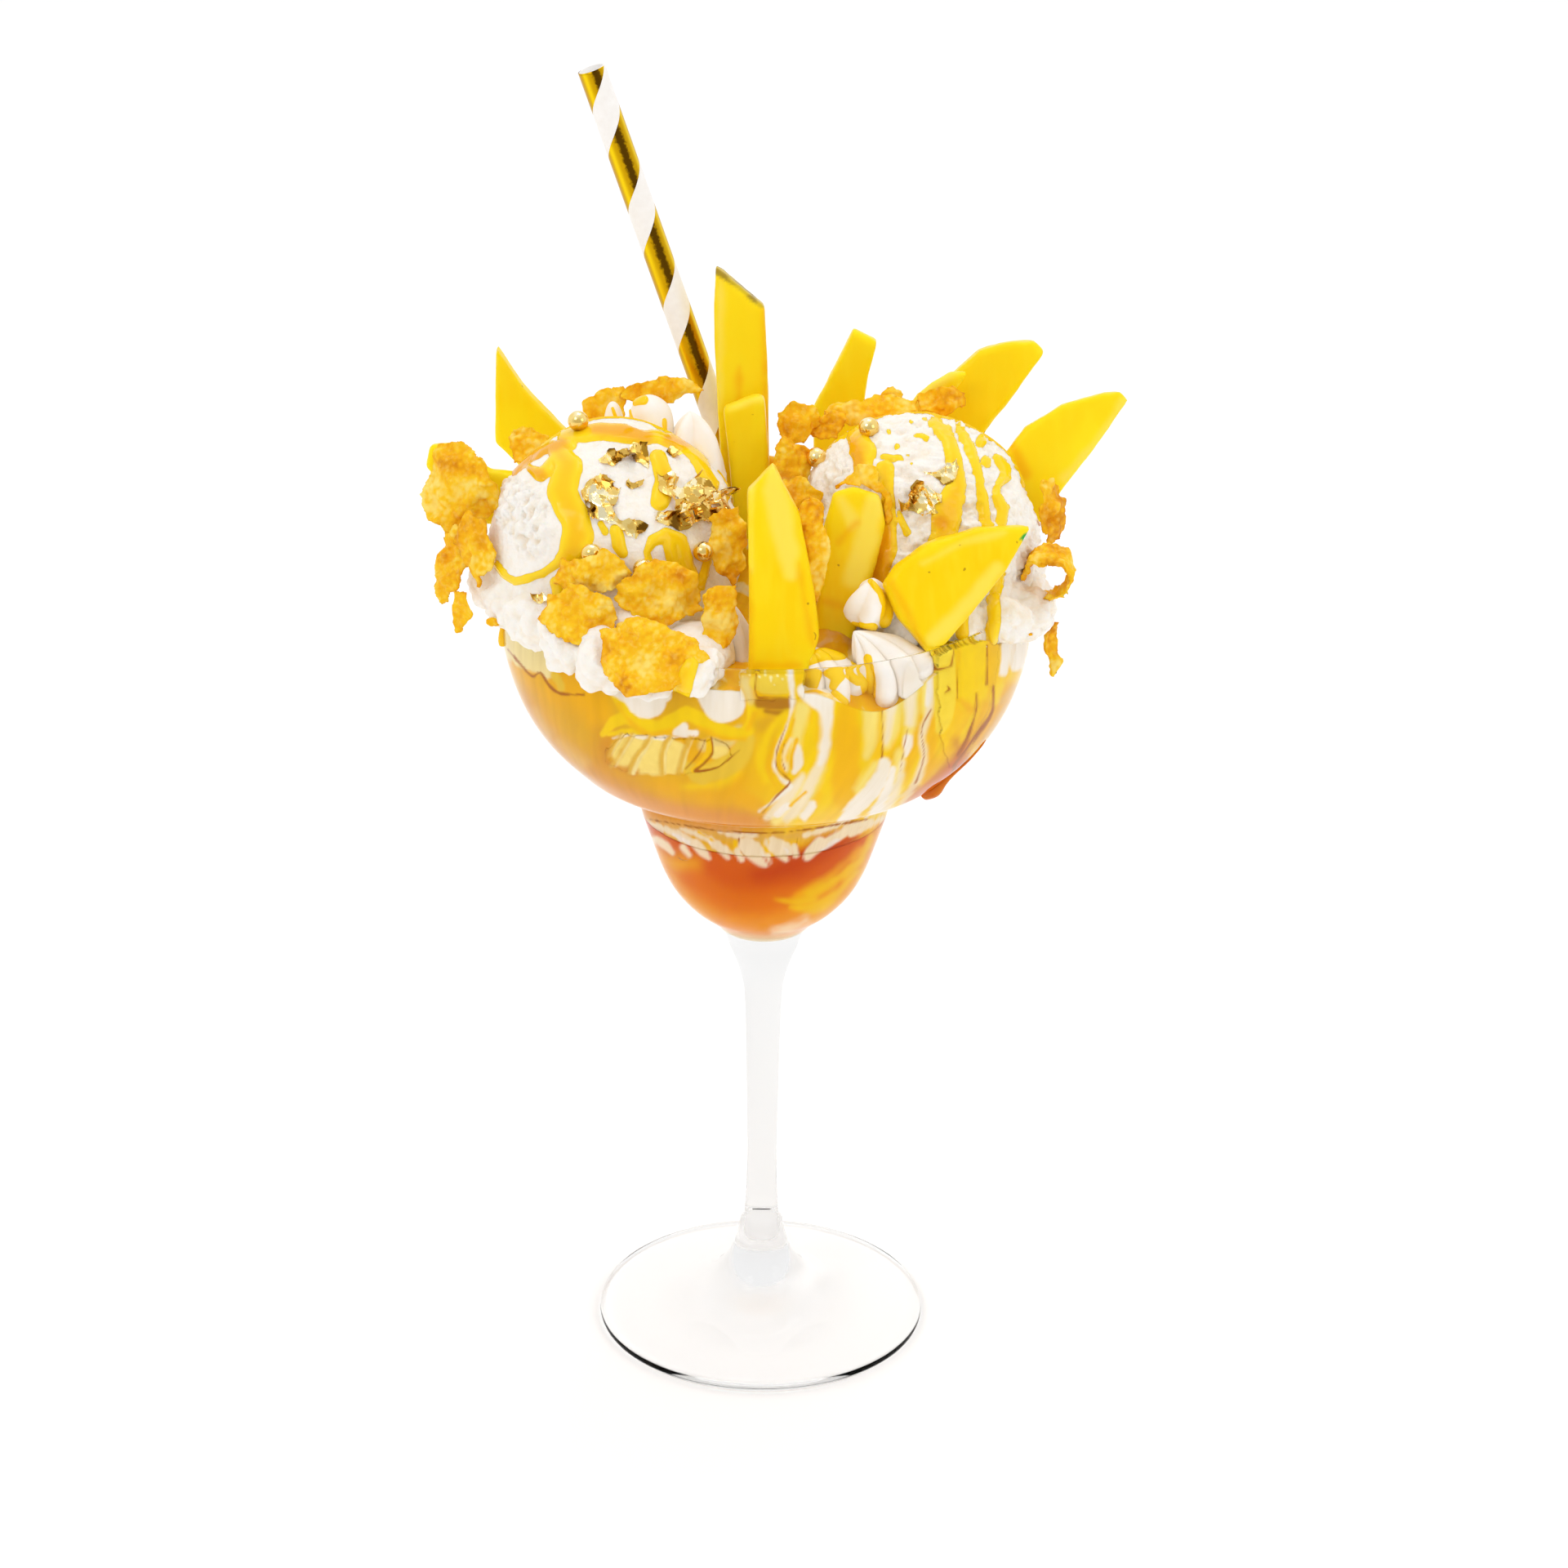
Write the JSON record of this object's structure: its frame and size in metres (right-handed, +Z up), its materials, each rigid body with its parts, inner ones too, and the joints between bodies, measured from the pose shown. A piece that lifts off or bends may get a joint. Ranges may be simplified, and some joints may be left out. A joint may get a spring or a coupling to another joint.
{
  "type": "mango sundae",
  "caption": "Mango sundae in a stemmed double-bowl dessert glass, with ice cream scoops, fruit slices, toasted flakes, meringue, sauce and a striped paper straw.",
  "frame": {"origin": "middle of the glass's flat foot, on the surface it stands on", "axes": "+Z up along the stem, -Y to the front of the dessert, +X to its right"},
  "size_m": [0.1537, 0.1182, 0.292],
  "materials": {
    "glass": "clear, polished",
    "syrup": "thick and glossy",
    "cream": "cream marbled with sauce",
    "ice_cream": "icy, finely crumbed",
    "sauce": "thick and glossy",
    "mango": "moist cut flesh",
    "meringue": "dry and smooth",
    "flake": "toasted, blistered",
    "paper": "white with gold foil stripes",
    "gold": "crumpled edible leaf"
  },
  "bodies": {
    "root": {"filling": "cream", "flake_arch_left": "flake", "flake_arch_right": "flake", "flake_front_big": "flake", "flake_front_edge": "flake", "flake_front_left": "flake", "flake_front_mid": "flake", "flake_front_right": "flake", "flake_left_big": "flake", "flake_left_low": "flake", "flake_left_mid": "flake", "flake_left_tip": "flake", "flake_mid_curl": "flake", "flake_mid_left": "flake", "flake_mid_low": "flake", "flake_mid_tall": "flake", "flake_mid_top": "flake", "flake_mid_wide": "flake", "flake_ribbon": "flake", "flake_right_curl": "flake", "flake_right_hang": "flake", "flake_right_high": "flake", "flake_top_bit": "flake", "flake_top_left": "flake", "flake_top_pale": "flake", "flake_top_right": "flake", "flake_top_under": "flake", "glass": "glass", "kiss_front": "meringue", "kiss_pale": "meringue", "kiss_sauced": "meringue", "kiss_small": "meringue", "kiss_sunk": "meringue", "mango_back": "mango", "mango_back_left": "mango", "mango_back_right": "mango", "mango_curl": "mango", "mango_far_left": "mango", "mango_front": "mango", "mango_leaf": "mango", "mango_middle": "mango", "mango_right": "mango", "mango_short": "mango", "mango_sunk": "mango", "mango_tall": "mango", "meringue_bit": "meringue", "meringue_petal": "meringue", "meringue_round": "meringue", "scoop_left": "ice_cream", "scoop_right": "ice_cream", "straw": "paper", "syrup": "syrup"}
  },
  "joints": []
}
